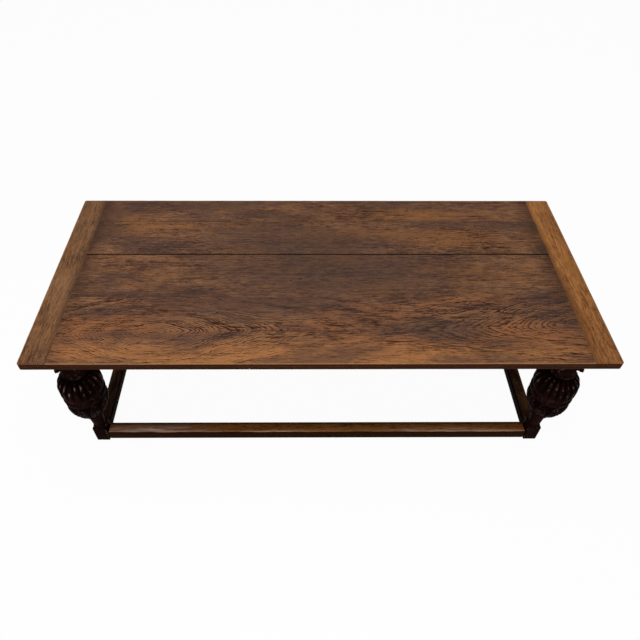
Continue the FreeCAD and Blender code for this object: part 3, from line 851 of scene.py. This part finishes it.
# on the long stretchers the gold colour is a painted highlight band, and the pale arris colour is partly
# painted highlight
longTones = {"dark": (0.042, 0.013, 0.0030), "mid": (0.132, 0.045, 0.0085), "pale": (0.23, 0.085, 0.019),
             "warm": (0.21, 0.070, 0.012), "gold": (0.30, 0.112, 0.026), "worn": (0.50, 0.29, 0.19),
             "edge": (0.034, 0.0125, 0.0042)}
sideTones = {"dark": (0.010, 0.0045, 0.0025), "mid": (0.042, 0.019, 0.010), "pale": (0.085, 0.042, 0.024),
             "grey": (0.026, 0.014, 0.009), "worn": (0.09, 0.050, 0.034), "edge": (0.010, 0.0046, 0.0028)}


def stretcherOak(side, low, high):
    if side in ("front", "back"):
        outer, inner = (low.y, high.y) if side == "front" else (high.y, low.y)
        # the top face is painted lighter towards its outer arris as a painted highlight, carries pale
        # strokes near the ends that are partly painted highlight, and darkens along its inner edge
        dull = ((-0.80, 0.34), (outer * 0.96, 0.046))
        rubbedGlint = (((-0.78, 0.36), (outer * 0.97, 0.032)), ((0.62, 0.42), (outer * 0.98, 0.022)))
        return oak(f"{side}_stretcher_oak", seed=101.0, arris=("y", outer), grey=(0.190, 0.110, 0.078),
                   greyShare=0.0, greyZone=dull, rubZones=rubbedGlint, seams=((inner, 0.8),), seamReach=0.022,
                   goldZone=(inner + (outer - inner) * 0.2, outer), **longTones, **stretcherLook)
    arris = ("x", low.x if side == "left" else high.x)
    return oak(f"{side}_stretcher_oak", grain="yxz", seed=113.0, arris=arris, **sideTones, **stretcherLook)


for index, side in enumerate(("front", "back", "left", "right")):
    node = f"stretcher_{side}"
    low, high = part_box(node)
    axis = 0 if side in ("front", "back") else 1
    legLow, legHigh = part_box("leg_front_left")
    reach = abs(legLow[axis] + legHigh[axis]) / 2 - legShape["footHalf"]
    low[axis], high[axis] = -reach, reach
    material = stretcherOak(side, low, high)
    mesh = timber(low, high, stretcherShape["steps"], stretcherShape["bevel"], stretcherShape["segments"])
    wearTimber(mesh, low, high, stretcherShape["arrisWear"], stretcherShape["faceWear"], 17 + index * 3)
    smoothFaces(mesh, stretcherShape["sharp"])
    newPiece(node + "_rail", mesh, material, "base", node)
print("stretchers made")

# Pegs: whittled oak, standing a little proud of the blocks
pegShape = {
    "radius": 0.0045,
    "taper": 0.97,
    "proud": 0.0012,
    "inside": 0.012,
    "sides": 10,
    "dome": 0.0016,
    "turn": 0.7,  # from one peg to the next
    "sharp": 30,
}
pegPolish = polish("peg_polish", seed=15.5, brown=(0.05, 0.022, 0.012), worn=(0.10, 0.048, 0.024))


def pegsOf(node):  # each peg's outer end and outward axis, from its solid's loose triangles
    mesh = bmesh.new()
    mesh.from_mesh(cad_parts[node].data)
    bmesh.ops.remove_doubles(mesh, verts=mesh.verts, dist=1e-5)
    waiting = dict.fromkeys(mesh.verts)
    ends = []
    while waiting:
        island = [waiting.popitem()[0]]
        for vert in island:
            for edge in vert.link_edges:
                other = edge.other_vert(vert)
                if other in waiting:
                    del waiting[other]
                    island.append(other)
        low = Vector([min(vert.co[axis] for vert in island) for axis in range(3)])
        high = Vector([max(vert.co[axis] for vert in island) for axis in range(3)])
        size = high - low
        axis = max(range(2), key=lambda place: size[place])
        end = (low + high) / 2
        outward = Vector((0, 0, 0))
        outward[axis] = math.copysign(1, end[axis])
        end[axis] = high[axis] if outward[axis] > 0 else low[axis]
        ends.append((end, outward))
    mesh.free()
    return sorted(ends, key=lambda found: tuple(round(part, 4) for part in found[0]))


def makePegs(node, shape):
    mesh = bmesh.new()
    for index, (end, outward) in enumerate(pegsOf(node)):
        length = shape["inside"] + shape["proud"]
        made = bmesh.ops.create_cone(mesh, cap_ends=True, segments=shape["sides"], radius1=shape["radius"],
                                     radius2=shape["radius"] * shape["taper"], depth=length)
        rim = [edge for vert in made["verts"] if vert.co.z > 0 for edge in vert.link_edges
               if all(corner.co.z > 0 for corner in edge.verts)]
        turn = outward.to_track_quat("Z", "Y").to_matrix() @ Matrix.Rotation(index * shape["turn"], 3, "Z")
        place = end + outward * (shape["proud"] - length / 2)
        bmesh.ops.rotate(mesh, matrix=turn, verts=made["verts"])
        bmesh.ops.translate(mesh, vec=place, verts=made["verts"])
        bmesh.ops.bevel(mesh, geom=list(dict.fromkeys(rim)), offset=shape["dome"], offset_type="OFFSET",
                        segments=2, profile=0.5, affect="EDGES", material=-1)
    smoothFaces(mesh, shape["sharp"])
    newPiece(node + "_whittled", mesh, pegPolish, "base", node)


for node in ("apron_pegs", "stretcher_pegs"):
    makePegs(node, pegShape)
print("pegs made")

# Nodes that keep their own shape
bareOak = {"dark": (0.10, 0.055, 0.028), "mid": (0.25, 0.15, 0.08), "pale": (0.36, 0.235, 0.135),
           "grey": (0.18, 0.12, 0.075), "rough": 0.55}
keptFinishes = {
    "apron": polish("apron_polish", grain="xyz", seed=5.5),
    "apron_end": polish("apron_end_polish", grain="yxz", seed=9.5),
    "bearer": oak("bearer_oak", seed=201, **bareOak),
    "rail": oak("rail_oak", grain="yxz", seed=207, **bareOak),
    "peg": pegPolish,
    "screws": steel("screw_steel", steelLook),
}


def keptFinish(node):
    if node.startswith("apron_") and not node.endswith("pegs"):
        return keptFinishes["apron" if node in ("apron_front", "apron_back") else "apron_end"]
    if node == "centre_rail":
        return keptFinishes["rail"]
    for word in ("bearer", "peg", "screws"):
        if word in node:
            return keptFinishes[word]
    return None


for node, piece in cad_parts.items():
    finish = keptFinish(node)
    if finish and not piece.hide_render:
        piece.data.materials.clear()
        piece.data.materials.append(finish)
print("aprons, bearers and fastenings finished")

# Floor, light and backdrop
studio = {
    "floorHalf": 14,
    "floorColour": (0.86, 0.86, 0.86),
    "floorWhite": 0.96,  # share of plain white in what the camera sees of the floor
    "skyLight": 0.28,
    "keyPower": 120,
    "keySize": (3.2, 3.2),
    "keyPlace": (-0.6, -0.5, 4.2),
    "keyAim": (0, 0, 0.5),
    "fillPower": 22,
    "fillSize": (2.6, 1.0),
    "fillPlace": (0.0, -3.4, 1.3),
    "fillAim": (0, 0, 0.4),
}


def seenWhite(start):  # 1 for what the camera, a reflection or glass shows
    rays = start.add("LightPath", out="Is Camera Ray")
    return rays.most(rays.out("Is Glossy Ray")).most(rays.out("Is Transmission Ray"))


def makeFloor():
    mesh = bmesh.new()
    bmesh.ops.create_grid(mesh, x_segments=1, y_segments=1, size=studio["floorHalf"])
    data = bpy.data.meshes.new("floor")
    mesh.to_mesh(data)
    mesh.free()
    floor = addObject("floor", data)
    material = bpy.data.materials.new("floor_white")
    start = emptyTree(material)
    matt = start.add("BsdfDiffuse", {}, {"Color": (*studio["floorColour"], 1)})
    white = start.add("Emission", {}, {"Strength": 1})
    both = start.add("MixShader", {}, {0: seenWhite(start) * studio["floorWhite"], 1: matt, 2: white})
    start.add("OutputMaterial", {}, {"Surface": both})
    data.materials.append(material)


def makeWorld():
    world = bpy.data.worlds.new("studio")
    bpy.context.scene.world = world
    start = emptyTree(world)
    seen = seenWhite(start)
    strength = seen + (1 - seen) * studio["skyLight"]
    sky = start.add("Background", {}, {"Color": (1, 1, 1, 1), "Strength": strength})
    start.add("OutputWorld", {}, {"Surface": sky})


def makeLamp(name):
    data = bpy.data.lights.new(name, "AREA")
    data.shape = "RECTANGLE"
    data.size, data.size_y = studio[name + "Size"]
    data.energy = studio[name + "Power"]
    lamp = addObject(name, data)
    place = Vector(studio[name + "Place"])
    ahead = Vector(studio[name + "Aim"]) - place
    lamp.matrix_world = Matrix.Translation(place) @ ahead.to_track_quat("-Z", "Y").to_matrix().to_4x4()
    lamp.visible_camera = False


makeFloor()
makeWorld()
makeLamp("key")
makeLamp("fill")
bpy.context.scene.view_settings.view_transform = "Standard"
print("studio made")
